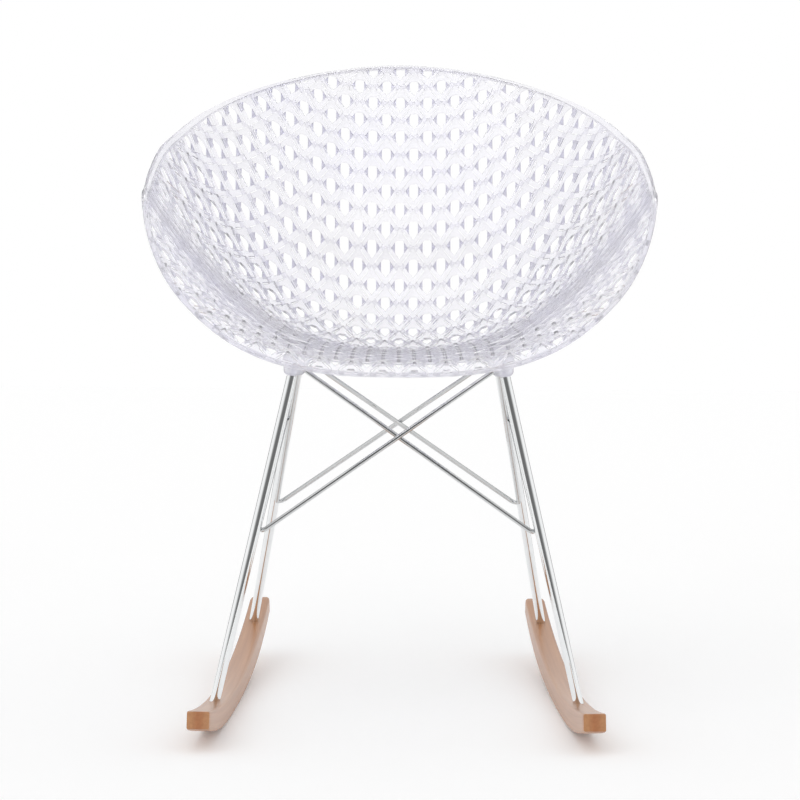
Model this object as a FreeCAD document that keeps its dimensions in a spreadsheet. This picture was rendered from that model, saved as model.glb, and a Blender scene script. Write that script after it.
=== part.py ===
import FreeCAD, Part
import math
import os

V = FreeCAD.Vector

# Moulded lattice armchair shell on a chromed rod base with two bent wooden rockers.
# Millimetres. +Z up, the sitter faces -Y, +X is the right-hand side seen from the front.
# The origin lies on the floor, under the middle of the rockers' length.

doc = FreeCAD.newDocument("rocking_chair")
sheet = doc.addObject("Spreadsheet::Sheet", "sizes")

SIZES = [
    # seat shell, centre profile from the top of the back down to the front lip
    ("shell_top_y", 251.5, "top of the back, distance behind the rockers' middle"),
    ("shell_top_z", 775.0, "top of the back above the floor"),
    ("back_length", 267.3, "arc length of the upper back"),
    ("back_lean_top", 34.0, "lean of the back at its top edge, degrees"),
    ("back_lean_low", 7.0, "lean of the back above the seat curve, degrees"),
    ("bend_length", 185.5, "arc length of the curve from back to seat"),
    ("seat_length", 323.7, "arc length of the seat"),
    ("seat_lean_rear", 93.0, "direction of the seat at its rear, degrees from vertical"),
    ("seat_lean_front", 88.5, "direction of the seat at its front, degrees"),
    ("lip_length", 34.0, "arc length of the turned-down lip"),
    ("lip_lean", 38.0, "direction at the lip's edge, degrees"),
    # seat shell, rise of the sides above the centre profile
    ("rise_station", 204.0, "distance from the centre at which the rises are given"),
    ("rise_power", 2.55, "how fast the sides turn up"),
    ("rise_top", 57.0, "rise at the top edge"),
    ("rise_back", 83.3, "rise at the lower back"),
    ("rise_bend", 93.6, "rise at the seat curve"),
    ("rise_seat", 80.5, "rise at the rear of the seat"),
    ("rise_front", 70.0, "rise at the front of the seat"),
    ("rise_lip", 35.0, "rise at the lip"),
    ("flare_back", 60.84, "slant of the rising sides at the back, degrees"),
    ("flare_seat", 88.0, "slant of the rising sides at the seat, degrees"),
    # seat shell, rim outline laid out flat
    ("rim_half_width", 295.0, "half width of the rim, laid out flat"),
    ("rim_centre", 508.0, "arc distance of the widest place from the top"),
    ("rim_power_top", 2.13, "squareness of the upper outline"),
    ("rim_power_low", 4.4, "squareness of the lower outline"),
    ("rim_band", 8.0, "width of the plain band round the rim"),
    ("rim_thickness", 8.0, "thickness of the bead in the band"),
    ("rim_points", 88, "straight lengths round the rim"),
    # seat shell, lattice
    ("shell_thickness", 6.6, "thickness of the lattice"),
    ("hole_pitch_x", 17.3, "distance between neighbouring columns of holes"),
    ("hole_pitch_s", 48.46, "distance between rows along a column"),
    ("hole_phase_s", 57.65, "arc distance of the first row of an even column"),
    ("hole_half_x", 8.4, "half width of a hole"),
    ("hole_half_s", 16.4, "half length of a hole"),
    # rockers
    ("rocker_length", 705.0, "length from end to end, along the floor"),
    ("rocker_width", 26.0, "width of the section"),
    ("rocker_depth", 24.5, "depth of the section at its middle"),
    ("rocker_low_y", 270.0, "lowest place, from the front end"),
    ("rocker_mid_radius", 2400.0, "radius of the rolling middle"),
    ("rocker_front_y", 170.0, "start of the sharper front curve, from the front end"),
    ("rocker_front_radius", 850.0, "radius of the front curve"),
    ("rocker_rear_y", 480.0, "start of the sharper rear curve, from the front end"),
    ("rocker_rear_radius", 977.0, "radius of the rear curve"),
    ("rocker_top_radius", 1715.0, "radius of the upper face"),
    ("rocker_top_y", 277.0, "lowest place of the upper face, from the front end"),
    ("rocker_round", 2.2, "bevel of the long edges"),
    ("rocker_front_x", 215.2, "middle of the section at the front end"),
    ("rocker_rear_x", 182.5, "middle of the section at the rear end"),
    # legs
    ("leg_diameter", 11.6, "thick rod of the four legs"),
    ("foot_front_y", -180.5, "front feet on the rockers"),
    ("foot_front_x", 208.0, "front feet from the centre"),
    ("foot_rear_y", 257.5, "rear feet on the rockers"),
    ("foot_rear_x", 186.6, "rear feet from the centre"),
    ("foot_depth", 11.0, "how far a foot goes into the rocker"),
    ("leg_top_z", 414.0, "height at which a leg's centre line meets its boss's"),
    # bosses under the seat
    ("boss_x", 118.0, "bosses from the centre"),
    ("boss_front_y", -187.5, "front bosses"),
    ("boss_rear_y", 3.5, "rear bosses"),
    ("boss_diameter", 26.0, "outside of a boss"),
    ("boss_front_z", 400.5, "underside of the front bosses"),
    ("boss_rear_z", 403.5, "underside of the rear bosses"),
    ("boss_bevel", 4.0, "bevel of the lower edge"),
    ("boss_sides", 32, "straight sides that stand for a boss's round outline"),
    ("seat_gap", 0.15, "clearance between pieces that are seated"),
    # thin cross rods
    ("brace_diameter", 6.0, "thin rod of the four bent braces"),
    ("brace_bend", 7.0, "bend radius at the vertex, on the centre line"),
    ("brace_chords", 2, "straight lengths that make up the bend"),
    ("brace_front_z", 225.0, "vertex of the front braces above the floor"),
    ("brace_rear_z", 226.0, "vertex of the rear braces above the floor"),
    ("brace_end_z", 410.0, "height of the braces' ends, inside the bosses' outline"),
    ("brace_run_in", 6.0, "extra length of an arm, trimmed off by the boss"),
    ("cross_end_x", 8.6, "end of a cross arm, inward of the boss's middle"),
    ("cross_end_y", 5.3, "end of a cross arm, forward or back of the boss's middle"),
    ("side_end_y", 10.5, "end of a side arm, towards the other boss"),
    ("side_end_front_x", 4.6, "end of a side arm in the front boss, inward"),
    ("side_end_rear_x", 0.2, "end of a side arm in the rear boss, inward"),
]

for row, (alias, value, note) in enumerate(SIZES, start=1):
    sheet.set("A%d" % row, alias)
    sheet.set("B%d" % row, str(value))
    sheet.set("C%d" % row, note)
    sheet.setAlias("B%d" % row, alias)
doc.recompute()


def size(alias):
    """One number out of the sheet."""
    return float(sheet.get(alias))


def smooth(t):
    """Zero below 0, one above 1, with an easy passage between."""
    t = min(1.0, max(0.0, t))
    return t * t * (3.0 - 2.0 * t)


# Seat shell: the surface.
PROFILE = [
    (size("back_length"), size("back_lean_top"), size("back_lean_low")),
    (size("bend_length"), size("back_lean_low"), size("seat_lean_rear")),
    (size("seat_length"), size("seat_lean_rear"), size("seat_lean_front")),
    (size("lip_length"), size("seat_lean_front"), size("lip_lean")),
]
TOTAL = sum(length for length, _a, _b in PROFILE)


def centre_profile(s):
    """Place (y, z) on the centre line at the arc distance s from the top."""
    y = size_top_y
    z = size_top_z
    left = s
    for index, (length, lean_a, lean_b) in enumerate(PROFILE):
        last = index == len(PROFILE) - 1
        part = left if last else min(left, length)
        if index == 0 and left < 0.0:
            part = left
        a = math.radians(lean_a)
        k = math.radians(lean_b - lean_a) / length
        if abs(k) < 1e-9:
            y -= math.sin(a) * part
            z -= math.cos(a) * part
        else:
            b = a + k * part
            y += (math.cos(b) - math.cos(a)) / k
            z -= (math.sin(b) - math.sin(a)) / k
        left -= part
        if left <= 0.0:
            break
    return y, z


size_top_y = size("shell_top_y")
size_top_z = size("shell_top_z")
half_width = size("rim_half_width")
rim_centre = size("rim_centre")
band = size("rim_band")
thickness = size("shell_thickness")

# The rise of the sides is given at stations along the arc and runs smoothly between them.
back_end = size("back_length")
bend_end = back_end + size("bend_length")
STATIONS = [
    (0.0, size("rise_top")),
    (back_end, size("rise_back")),
    (0.5 * (back_end + bend_end) + 10.0, size("rise_bend")),
    (bend_end + 30.0, size("rise_seat")),
    (TOTAL - 160.0, size("rise_front")),
    (TOTAL + 5.0, size("rise_lip")),
]


def spline_slopes(points):
    """Second derivatives of the natural cubic curve through the points."""
    n = len(points)
    second = [0.0] * n
    upper = [0.0] * n
    for i in range(1, n - 1):
        h0 = points[i][0] - points[i - 1][0]
        h1 = points[i + 1][0] - points[i][0]
        ratio = h0 / (h0 + h1)
        p = ratio * second[i - 1] + 2.0
        second[i] = (ratio - 1.0) / p
        bend = (points[i + 1][1] - points[i][1]) / h1 - (points[i][1] - points[i - 1][1]) / h0
        upper[i] = (6.0 * bend / (h0 + h1) - ratio * upper[i - 1]) / p
    for i in range(n - 2, 0, -1):
        second[i] = second[i] * second[i + 1] + upper[i]
    return second


SECOND = spline_slopes(STATIONS)


def rise(s):
    """Rise of the sides at the arc distance s, at the rise station."""
    s = min(STATIONS[-1][0], max(STATIONS[0][0], s))
    k = 0
    while k < len(STATIONS) - 2 and s > STATIONS[k + 1][0]:
        k += 1
    (s0, r0), (s1, r1) = STATIONS[k], STATIONS[k + 1]
    h = s1 - s0
    a = (s1 - s) / h
    b = (s - s0) / h
    bow = ((a ** 3 - a) * SECOND[k] + (b ** 3 - b) * SECOND[k + 1]) * h * h / 6.0
    return a * r0 + b * r1 + bow


def surface(x, s):
    """Place on the middle surface of the shell."""
    y, z = centre_profile(s)
    up = rise(s) * (abs(x) / size_station) ** size_power
    turn = smooth((s - 0.5 * TOTAL) / 300.0)
    slant = size_flare_back + (size_flare_seat - size_flare_back) * turn
    return V(x, y - up / math.tan(math.radians(slant)), z + up)


size_station = size("rise_station")
size_power = size("rise_power")
size_flare_back = size("flare_back")
size_flare_seat = size("flare_seat")


def normal(x, s):
    """Unit normal on the sitter's side of the shell."""
    step = 0.5
    along_x = surface(x + step, s) - surface(x - step, s)
    along_s = surface(x, s + step) - surface(x, s - step)
    n = along_s.cross(along_x)
    n.normalize()
    return n


def off_surface(x, s, height):
    """Place at a height above the middle surface, towards the sitter."""
    return surface(x, s) + normal(x, s) * height


# Seat shell: the outline and the holes, laid out flat as (x, s).
def rim_outline(inset):
    """Closed outline of the shell, a given distance inside its edge."""
    count = int(size("rim_points"))
    top = rim_centre - inset
    low = TOTAL - rim_centre - inset
    wide = half_width - inset
    outline = []
    for k in range(count):
        angle = 2.0 * math.pi * k / count
        c = math.cos(angle)
        d = math.sin(angle)
        power = size("rim_power_low") if d > 0.0 else size("rim_power_top")
        reach = low if d > 0.0 else top
        x = wide * math.copysign(abs(c) ** (2.0 / power), c)
        s = rim_centre + reach * math.copysign(abs(d) ** (2.0 / power), d)
        outline.append((x, s))
    return outline


def clip(polygon, outline):
    """The piece of a convex polygon inside a convex outline."""
    result = polygon
    n = len(outline)
    for k in range(n):
        ax, ay = outline[k]
        bx, by = outline[(k + 1) % n]
        kept = []
        for j in range(len(result)):
            px, py = result[j]
            qx, qy = result[(j + 1) % len(result)]
            dp = (bx - ax) * (py - ay) - (by - ay) * (px - ax)
            dq = (bx - ax) * (qy - ay) - (by - ay) * (qx - ax)
            if dp >= 0.0:
                kept.append((px, py))
            if (dp > 0.0 > dq) or (dq > 0.0 > dp):
                f = dp / (dp - dq)
                kept.append((px + f * (qx - px), py + f * (qy - py)))
        result = kept
        if len(result) < 3:
            return []
    return result


def area(polygon):
    """Area of a flat polygon, positive when it runs anticlockwise."""
    total = 0.0
    for j in range(len(polygon)):
        px, py = polygon[j]
        qx, qy = polygon[(j + 1) % len(polygon)]
        total += px * qy - qx * py
    return 0.5 * total


def arc_at(x, y):
    """Arc distance on the seat at which the surface stands at y."""
    low = bend_end - 60.0
    high = TOTAL - size("lip_length")
    for _round in range(40):
        middle = 0.5 * (low + high)
        if surface(x, middle).y > y:
            low = middle
        else:
            high = middle
    return 0.5 * (low + high)


BOSSES = {
    "front_left": (-1, "front"),
    "front_right": (1, "front"),
    "rear_left": (-1, "rear"),
    "rear_right": (1, "rear"),
}


def boss_place(name):
    """Middle of a boss in plan."""
    side, end = BOSSES[name]
    return side * size("boss_x"), size("boss_%s_y" % end)


def lattice_holes():
    """Every hole of the lattice, as a flat polygon."""
    hx = size("hole_half_x")
    hs = size("hole_half_s")
    pitch_x = size("hole_pitch_x")
    pitch_s = size("hole_pitch_s")
    edge = rim_outline(band + 3.0)
    pads = []
    for name in BOSSES:
        bx, by = boss_place(name)
        pads.append((bx, arc_at(bx, by)))
    columns = int(half_width / pitch_x)
    rows = int(TOTAL / pitch_s) + 1
    holes = []
    for i in range(-columns, columns + 1):
        shift = 0.0 if i % 2 == 0 else 0.5
        for j in range(-2, rows):
            x = i * pitch_x
            s = size("hole_phase_s") + (j + shift) * pitch_s
            if any(math.hypot(x - px, s - ps) < 21.0 for px, ps in pads):
                continue
            hole = clip([(x + hx, s), (x, s + hs), (x - hx, s), (x, s - hs)], edge)
            if not hole or area(hole) < 90.0:
                continue
            tidy = []
            for point in hole:
                if all(math.hypot(point[0] - q[0], point[1] - q[1]) > 1.5 for q in tidy):
                    tidy.append(point)
            if len(tidy) >= 3:
                holes.append(tidy)
    return holes


class Facets:
    """Flat facets that share their corners, turned into one closed solid."""

    def __init__(self):
        self.corners = []
        self.faces = []

    def corner(self, point):
        self.corners.append(point)
        return len(self.corners) - 1

    def triangle(self, a, b, c):
        self.faces.append((a, b, c))

    def strip(self, first, second):
        """Close the ring between two rows of corners."""
        n = len(first)
        for k in range(n):
            j = (k + 1) % n
            self.triangle(first[k], first[j], second[j])
            self.triangle(first[k], second[j], second[k])

    def solid(self):
        vertices = [Part.Vertex(p) for p in self.corners]
        edges = {}

        def edge(a, b):
            key = (min(a, b), max(a, b))
            if key not in edges:
                edges[key] = Part.Edge(vertices[key[0]], vertices[key[1]])
            return edges[key]

        faces = []
        for a, b, c in self.faces:
            face = Part.Face(Part.Wire([edge(a, b), edge(b, c), edge(c, a)]))
            pa, pb, pc = self.corners[a], self.corners[b], self.corners[c]
            if face.normalAt(0.0, 0.0).dot((pb - pa).cross(pc - pa)) < 0.0:
                face.reverse()
            faces.append(face)
        solid = Part.makeSolid(Part.makeShell(faces))
        if solid.Volume < 0.0:
            solid.reverse()
        return solid


def build_shell():
    """The lattice shell with its plain rim bead, as one closed solid."""
    half = 0.5 * thickness
    bead = 0.5 * size("rim_thickness")
    facets = Facets()
    inner = rim_outline(band)
    middle = rim_outline(0.55 * band)
    outer = rim_outline(0.0)
    holes = lattice_holes()

    flat = Part.Face(Part.makePolygon([V(x, s, 0.0) for x, s in inner + inner[:1]]))
    wires = [flat.OuterWire]
    for hole in holes:
        wires.append(Part.makePolygon([V(x, s, 0.0) for x, s in hole + hole[:1]]))
    sheet_face = Part.Face(wires)
    sheet_face.validate()
    points, triangles = sheet_face.tessellate(0.5)

    def key(x, s):
        return (round(x, 4), round(s, 4))

    front = {}
    back = {}
    for p in points:
        front[key(p.x, p.y)] = facets.corner(off_surface(p.x, p.y, half))
        back[key(p.x, p.y)] = facets.corner(off_surface(p.x, p.y, -half))
    order = [key(p.x, p.y) for p in points]
    for a, b, c in triangles:
        pa, pb, pc = points[a], points[b], points[c]
        turn = (pb.x - pa.x) * (pc.y - pa.y) - (pb.y - pa.y) * (pc.x - pa.x)
        if turn < 0.0:
            b, c = c, b
        facets.triangle(front[order[a]], front[order[c]], front[order[b]])
        facets.triangle(back[order[a]], back[order[b]], back[order[c]])
    for hole in holes:
        upper = [front[key(x, s)] for x, s in hole]
        lower = [back[key(x, s)] for x, s in hole]
        facets.strip(lower, upper)

    rows = [[front[key(x, s)] for x, s in inner]]
    for line, height in ((middle, bead), (outer, 0.0), (middle, -bead)):
        rows.append([facets.corner(off_surface(x, s, height)) for x, s in line])
    rows.append([back[key(x, s)] for x, s in inner])
    for first, second in zip(rows, rows[1:]):
        facets.strip(first, second)
    return facets.solid(), len(holes), len(facets.faces)


shell_shape, hole_count, facet_count = build_shell()
shell = doc.addObject("Part::Feature", "shell")
shell.Shape = shell_shape
shell.Label = "seat_shell"
print("holes", hole_count, "facets", facet_count, "valid", shell_shape.isValid())


# Base: shared helpers.
def bind(item, prop, alias):
    """Drive one property from the sheet."""
    item.setExpression(prop, "sizes.%s" % alias)


def rod_placement(start, end):
    """Placement whose local Z runs from start to end."""
    return FreeCAD.Placement(start, FreeCAD.Rotation(V(0, 0, 1), end - start))


def origin_plane(body, role):
    """One of the body's own origin planes."""
    for item in body.Origin.OriginFeatures:
        if item.Role == role:
            return item
    return None


def cylinder(name, start, end, radius):
    """A round bar from start to end, used as a piece or as a cutter."""
    bar = doc.addObject("Part::Cylinder", name)
    bar.Radius = radius
    bar.Height = (end - start).Length
    bar.Placement = rod_placement(start, end)
    return bar


# Rockers.
def rocker_bottom(t):
    """Height of the rolling face, t behind the front end."""
    low = size("rocker_low_y")
    mid = size("rocker_mid_radius")
    front = size("rocker_front_y")
    rear = size("rocker_rear_y")
    if t < front:
        slope = (low - front) / mid
        d = front - t
        return (low - front) ** 2 / (2.0 * mid) + slope * d + d * d / (2.0 * size("rocker_front_radius"))
    if t > rear:
        slope = (rear - low) / mid
        d = t - rear
        return (rear - low) ** 2 / (2.0 * mid) + slope * d + d * d / (2.0 * size("rocker_rear_radius"))
    return (t - low) ** 2 / (2.0 * mid)


def rocker_top(t):
    """Height of the upper face, t behind the front end."""
    return size("rocker_depth") + (t - size("rocker_top_y")) ** 2 / (2.0 * size("rocker_top_radius"))


def leg_ends(name):
    """Lower and upper end of a leg's centre line."""
    side, end = BOSSES[name]
    y = size("foot_%s_y" % end)
    x = side * size("foot_%s_x" % end)
    z = rocker_top(y + 0.5 * size("rocker_length"))
    on_top = V(x, y, z)
    bx, by = boss_place(name)
    upper = V(bx, by, size("leg_top_z"))
    direction = upper - on_top
    direction.normalize()
    return on_top - direction * size("foot_depth"), upper


def build_rocker(name, side):
    """One bent wooden rocker with the sockets of its two legs."""
    length = size("rocker_length")
    middle = 0.5 * length
    body = doc.addObject("PartDesign::Body", name + "_body")
    profile = body.newObject("Sketcher::SketchObject", name + "_profile")
    profile.AttachmentSupport = [(origin_plane(body, "YZ_Plane"), "")]
    profile.MapMode = "FlatFace"

    def on_bottom(t):
        return V(t - middle, rocker_bottom(t), 0.0)

    slope_front = (rocker_bottom(0.0) - rocker_bottom(1.0))
    slope_rear = (rocker_bottom(length) - rocker_bottom(length - 1.0))
    top_front_t = slope_front * 20.0
    top_rear_t = length - slope_rear * 20.0

    def on_top(t):
        return V(t - middle, rocker_top(t), 0.0)

    front = size("rocker_front_y")
    rear = size("rocker_rear_y")
    runs = [(0.0, front), (front, rear), (rear, length)]
    for a, b in runs:
        profile.addGeometry(Part.Arc(on_bottom(a), on_bottom(0.5 * (a + b)), on_bottom(b)))
    profile.addGeometry(Part.LineSegment(on_bottom(length), on_top(top_rear_t)))
    profile.addGeometry(Part.Arc(on_top(top_rear_t), on_top(middle), on_top(top_front_t)))
    profile.addGeometry(Part.LineSegment(on_top(top_front_t), on_bottom(0.0)))

    pad = body.newObject("PartDesign::Pad", name + "_pad")
    pad.Profile = profile
    pad.Midplane = True
    bind(pad, "Length", "rocker_width")
    doc.recompute()

    long_edges = []
    for index, edge in enumerate(pad.Shape.Edges, start=1):
        box = edge.BoundBox
        if box.XLength < 0.01 and box.YLength > 60.0:
            long_edges.append("Edge%d" % index)
    bevel = body.newObject("PartDesign::Chamfer", name + "_bevel")
    bevel.Base = (pad, long_edges)
    bind(bevel, "Size", "rocker_round")

    toe = math.atan2(size("rocker_front_x") - size("rocker_rear_x"), length)
    body.Placement = FreeCAD.Placement(
        V(side * 0.5 * (size("rocker_front_x") + size("rocker_rear_x")), 0.0, 0.0),
        FreeCAD.Rotation(V(0, 0, 1), math.degrees(toe) * side),
    )
    doc.recompute()

    cutters = []
    which = "left" if side < 0 else "right"
    for end in ("front", "rear"):
        low, high = leg_ends("%s_%s" % (end, which))
        direction = high - low
        direction.normalize()
        gap = size("seat_gap")
        cutter = cylinder(name + "_socket_" + end, low - direction * gap, low + direction * 60.0,
                          0.5 * size("leg_diameter") + gap)
        cutters.append(cutter)
    both = doc.addObject("Part::MultiFuse", name + "_sockets")
    both.Shapes = cutters
    rocker = doc.addObject("Part::Cut", name)
    rocker.Base = body
    rocker.Tool = both
    rocker.Label = name
    return rocker


# Legs.
def build_leg(name):
    """One thick chromed rod from a rocker up into its boss."""
    low, high = leg_ends(name)
    bar = cylinder("leg_bar_" + name, low, high, 1.0)
    bind(bar, "Radius", "leg_diameter / 2")
    above = doc.addObject("Part::Box", "leg_trim_" + name)
    above.Length = 60.0
    above.Width = 60.0
    above.Height = 60.0
    under_boss = size("boss_%s_z" % BOSSES[name][1]) - size("seat_gap")
    above.Placement = FreeCAD.Placement(V(high.x - 30.0, high.y - 30.0, under_boss), FreeCAD.Rotation())
    leg = doc.addObject("Part::Cut", "leg_" + name)
    leg.Base = bar
    leg.Tool = above
    leg.Label = "leg_" + name
    return leg


# Thin bent braces.
def cross_sign(name):
    """-1 where the cross arm that ends in this brace's vertex passes in front, else +1."""
    return {"front_left": -1, "front_right": 1, "rear_left": 1, "rear_right": -1}[name]


def brace_points(name):
    """Upper end of the cross arm, vertex, upper end of the side arm."""
    side, end = BOSSES[name]
    other_end = "rear" if end == "front" else "front"
    towards = 1 if end == "front" else -1
    cross = V(-side * (size("boss_x") - size("cross_end_x")),
              size("boss_%s_y" % end) + cross_sign(name) * size("cross_end_y"),
              size("brace_end_z"))
    arm = V(side * (size("boss_x") - size("side_end_%s_x" % other_end)),
            size("boss_%s_y" % other_end) - towards * size("side_end_y"),
            size("brace_end_z") - 1.0)
    low, high = leg_ends(name)
    z = size("brace_%s_z" % end)
    f = (z - low.z) / (high.z - low.z)
    on_leg = low + (high - low) * f
    reach = 0.5 * size("leg_diameter") + 0.5 * size("brace_diameter") + 0.1
    apex = on_leg + V(-side * reach * math.sqrt(0.5), towards * reach * math.sqrt(0.5), 0.0)
    vertex = V(apex.x, apex.y, apex.z)
    for _round in range(6):
        a = cross - vertex
        b = arm - vertex
        a.normalize()
        b.normalize()
        half_angle = 0.5 * a.getAngle(b)
        inward = a + b
        inward.normalize()
        drop = size("brace_bend") * (1.0 / math.sin(half_angle) - 1.0)
        vertex = apex - inward * drop
    return cross, vertex, arm


def build_brace(name):
    """One thin rod, bent to a V whose vertex is welded to a leg."""
    cross, vertex, arm = brace_points(name)
    to_cross = cross - vertex
    to_arm = arm - vertex
    first = to_cross.Length + size("brace_run_in")
    second = to_arm.Length + size("brace_run_in")
    opening = to_cross.getAngle(to_arm)
    across = to_cross.cross(to_arm)
    ex = V(to_cross.x, to_cross.y, to_cross.z)
    ex.normalize()
    across.normalize()
    ey = across.cross(ex)
    body = doc.addObject("PartDesign::Body", "brace_body_" + name)
    path = body.newObject("Sketcher::SketchObject", "brace_path_" + name)
    path.AttachmentSupport = [(origin_plane(body, "XY_Plane"), "")]
    path.MapMode = "FlatFace"
    bend = size("brace_bend")
    back = bend / math.tan(0.5 * opening)
    direction = V(math.cos(opening), math.sin(opening), 0.0)
    start = V(first, 0.0, 0.0)
    bend_a = V(back, 0.0, 0.0)
    bend_b = direction * back
    inward = V(math.cos(0.5 * opening), math.sin(0.5 * opening), 0.0)
    hub = inward * (bend / math.sin(0.5 * opening))
    chords = int(size("brace_chords"))
    turned = math.pi - opening
    route = [start, bend_a]
    for k in range(1, chords):
        angle = -0.5 * math.pi - turned * k / chords
        route.append(hub + V(math.cos(angle), math.sin(angle), 0.0) * bend)
    route += [bend_b, direction * second]
    for a, b in zip(route, route[1:]):
        path.addGeometry(Part.LineSegment(a, b))
    doc.recompute()
    section = body.newObject("Sketcher::SketchObject", "brace_section_" + name)
    section.AttachmentSupport = [(origin_plane(body, "YZ_Plane"), "")]
    section.MapMode = "FlatFace"
    section.AttachmentOffset = FreeCAD.Placement(V(0.0, 0.0, first), FreeCAD.Rotation())
    section.addGeometry(Part.Circle(V(0, 0, 0), V(0, 0, 1), 0.5 * size("brace_diameter")))
    doc.recompute()
    sweep = body.newObject("PartDesign::AdditivePipe", "brace_sweep_" + name)
    sweep.Profile = section
    sweep.Spine = (path, ["Edge%d" % (k + 1) for k in range(len(route) - 1)])
    sweep.Transition = "Right corner"
    doc.recompute()
    turn = FreeCAD.Rotation(ex, ey, across, "ZXY")
    body.Placement = FreeCAD.Placement(vertex, turn)

    side, end = BOSSES[name]
    other_side = "left" if side > 0 else "right"
    own_side = "right" if side > 0 else "left"
    other_end = "rear" if end == "front" else "front"
    trims = []
    for target in ("%s_%s" % (end, other_side), "%s_%s" % (other_end, own_side)):
        bx, by = boss_place(target)
        low_z = size("boss_%s_z" % BOSSES[target][1]) - size("seat_gap")
        trims.append(cylinder("brace_trim_%s_%s" % (name, target), V(bx, by, low_z), V(bx, by, low_z + 40.0),
                              0.5 * size("boss_diameter") + size("seat_gap")))
    both = doc.addObject("Part::MultiFuse", "brace_trims_" + name)
    both.Shapes = trims
    brace = doc.addObject("Part::Cut", "brace_" + name)
    brace.Base = body
    brace.Tool = both
    brace.Label = "brace_" + name
    return brace


# Bosses.
def build_boss(name):
    """One round boss between the shell's underside and the rods."""
    side, end = BOSSES[name]
    bx, by = boss_place(name)
    s = arc_at(bx, by)
    half = 0.5 * thickness
    top = off_surface(bx, s, -half - size("seat_gap"))
    up = normal(bx, s)
    low_z = size("boss_%s_z" % end)
    body = doc.addObject("PartDesign::Body", "boss_body_" + name)
    outline = body.newObject("Sketcher::SketchObject", "boss_outline_" + name)
    outline.AttachmentSupport = [(origin_plane(body, "XY_Plane"), "")]
    outline.MapMode = "FlatFace"
    sides = int(size("boss_sides"))
    ring = []
    for k in range(sides):
        angle = 2.0 * math.pi * k / sides
        ring.append(V(math.cos(angle), math.sin(angle), 0.0) * (0.5 * size("boss_diameter")))
    for k in range(sides):
        outline.addGeometry(Part.LineSegment(ring[k - 1], ring[k]))
    pad = body.newObject("PartDesign::Pad", "boss_pad_" + name)
    pad.Profile = outline
    pad.Length = top.z - low_z + 20.0
    doc.recompute()
    lower = []
    for index, edge in enumerate(pad.Shape.Edges, start=1):
        if edge.BoundBox.ZMax < 0.01:
            lower.append("Edge%d" % index)
    bevel = body.newObject("PartDesign::Chamfer", "boss_bevel_" + name)
    bevel.Base = (pad, lower)
    bind(bevel, "Size", "boss_bevel")
    body.Placement = FreeCAD.Placement(V(bx, by, low_z), FreeCAD.Rotation())
    doc.recompute()

    trim = doc.addObject("Part::Box", "boss_trim_" + name)
    trim.Length = 80.0
    trim.Width = 80.0
    trim.Height = 60.0
    tilt = FreeCAD.Rotation(V(0, 0, 1), up)
    trim.Placement = FreeCAD.Placement(top - tilt.multVec(V(40.0, 40.0, 0.0)), tilt)
    boss = doc.addObject("Part::Cut", "boss_" + name)
    boss.Base = body
    boss.Tool = trim
    boss.Label = "boss_" + name
    return boss


nodes = [shell]
nodes.append(build_rocker("rocker_left", -1))
nodes.append(build_rocker("rocker_right", 1))
for place in BOSSES:
    nodes.append(build_leg(place))
for place in BOSSES:
    nodes.append(build_brace(place))
for place in BOSSES:
    nodes.append(build_boss(place))
doc.recompute()

for item in doc.Objects:
    for word in item.State:
        if word in ("Invalid", "Error"):
            raise RuntimeError("%s did not build" % item.Label)

os.makedirs("parts", exist_ok=True)
for node in nodes:
    shape = node.Shape
    if shape.isNull() or not shape.isValid() or not shape.Solids:
        raise RuntimeError("%s has no valid shape" % node.Label)
    shape.exportStep("parts/%s.step" % node.Label)
    box = shape.BoundBox
    print("%-22s solids %d volume %9.0f  x %7.1f %7.1f  y %7.1f %7.1f  z %7.1f %7.1f" % (
        node.Label, len(shape.Solids), shape.Volume, box.XMin, box.XMax, box.YMin, box.YMax,
        box.ZMin, box.ZMax))
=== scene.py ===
import bpy
import bmesh
import math
from mathutils import Matrix, Vector
from mathutils.geometry import delaunay_2d_cdt


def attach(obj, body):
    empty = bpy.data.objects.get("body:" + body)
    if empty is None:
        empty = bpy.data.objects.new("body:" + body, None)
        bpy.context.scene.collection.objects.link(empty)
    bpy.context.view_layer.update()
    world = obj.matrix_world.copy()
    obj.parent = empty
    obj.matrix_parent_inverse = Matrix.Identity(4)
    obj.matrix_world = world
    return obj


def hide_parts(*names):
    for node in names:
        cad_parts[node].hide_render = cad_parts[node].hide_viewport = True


# Rocking armchair with a clear moulded lattice shell, chromed rods and bent wooden rockers.
# The chair's sizes are in millimetres and turn into metres when a mesh is made. The sizes of
# the stage are in metres.

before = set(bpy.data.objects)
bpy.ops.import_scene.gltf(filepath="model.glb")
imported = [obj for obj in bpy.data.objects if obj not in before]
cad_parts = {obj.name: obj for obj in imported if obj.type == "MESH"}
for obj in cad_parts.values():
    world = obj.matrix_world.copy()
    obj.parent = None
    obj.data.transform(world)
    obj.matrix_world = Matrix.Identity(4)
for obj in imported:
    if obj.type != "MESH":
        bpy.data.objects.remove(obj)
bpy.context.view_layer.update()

MM = 0.001

# Shell: the middle surface of the part's source, with a slightly different rise and outline.

# Arcs of the centre profile from the top of the back to the lip: length, lean at the start and
# lean at the end, in degrees.
PROFILE = [
    (267.3, 34.0, 7.0),
    (185.5, 7.0, 93.0),
    (323.7, 93.0, 88.5),
    (34.0, 88.5, 38.0),
]
TOTAL = sum(row[0] for row in PROFILE)
TOP_Y = 251.5
TOP_Z = 775.0

# Rise of the sides above the centre profile at RISE_AT from the centre, by arc distance.
RISE_AT = 204.0
RISE_POWER = 2.62
STATIONS = [
    (0.0, 54.0),
    (267.3, 81.2),
    (370.05, 91.6),
    (482.8, 80.1),
    (590.0, 73.2),
    (TOTAL - 160.0, 70.0),
    (TOTAL + 5.0, 35.0),
]

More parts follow.
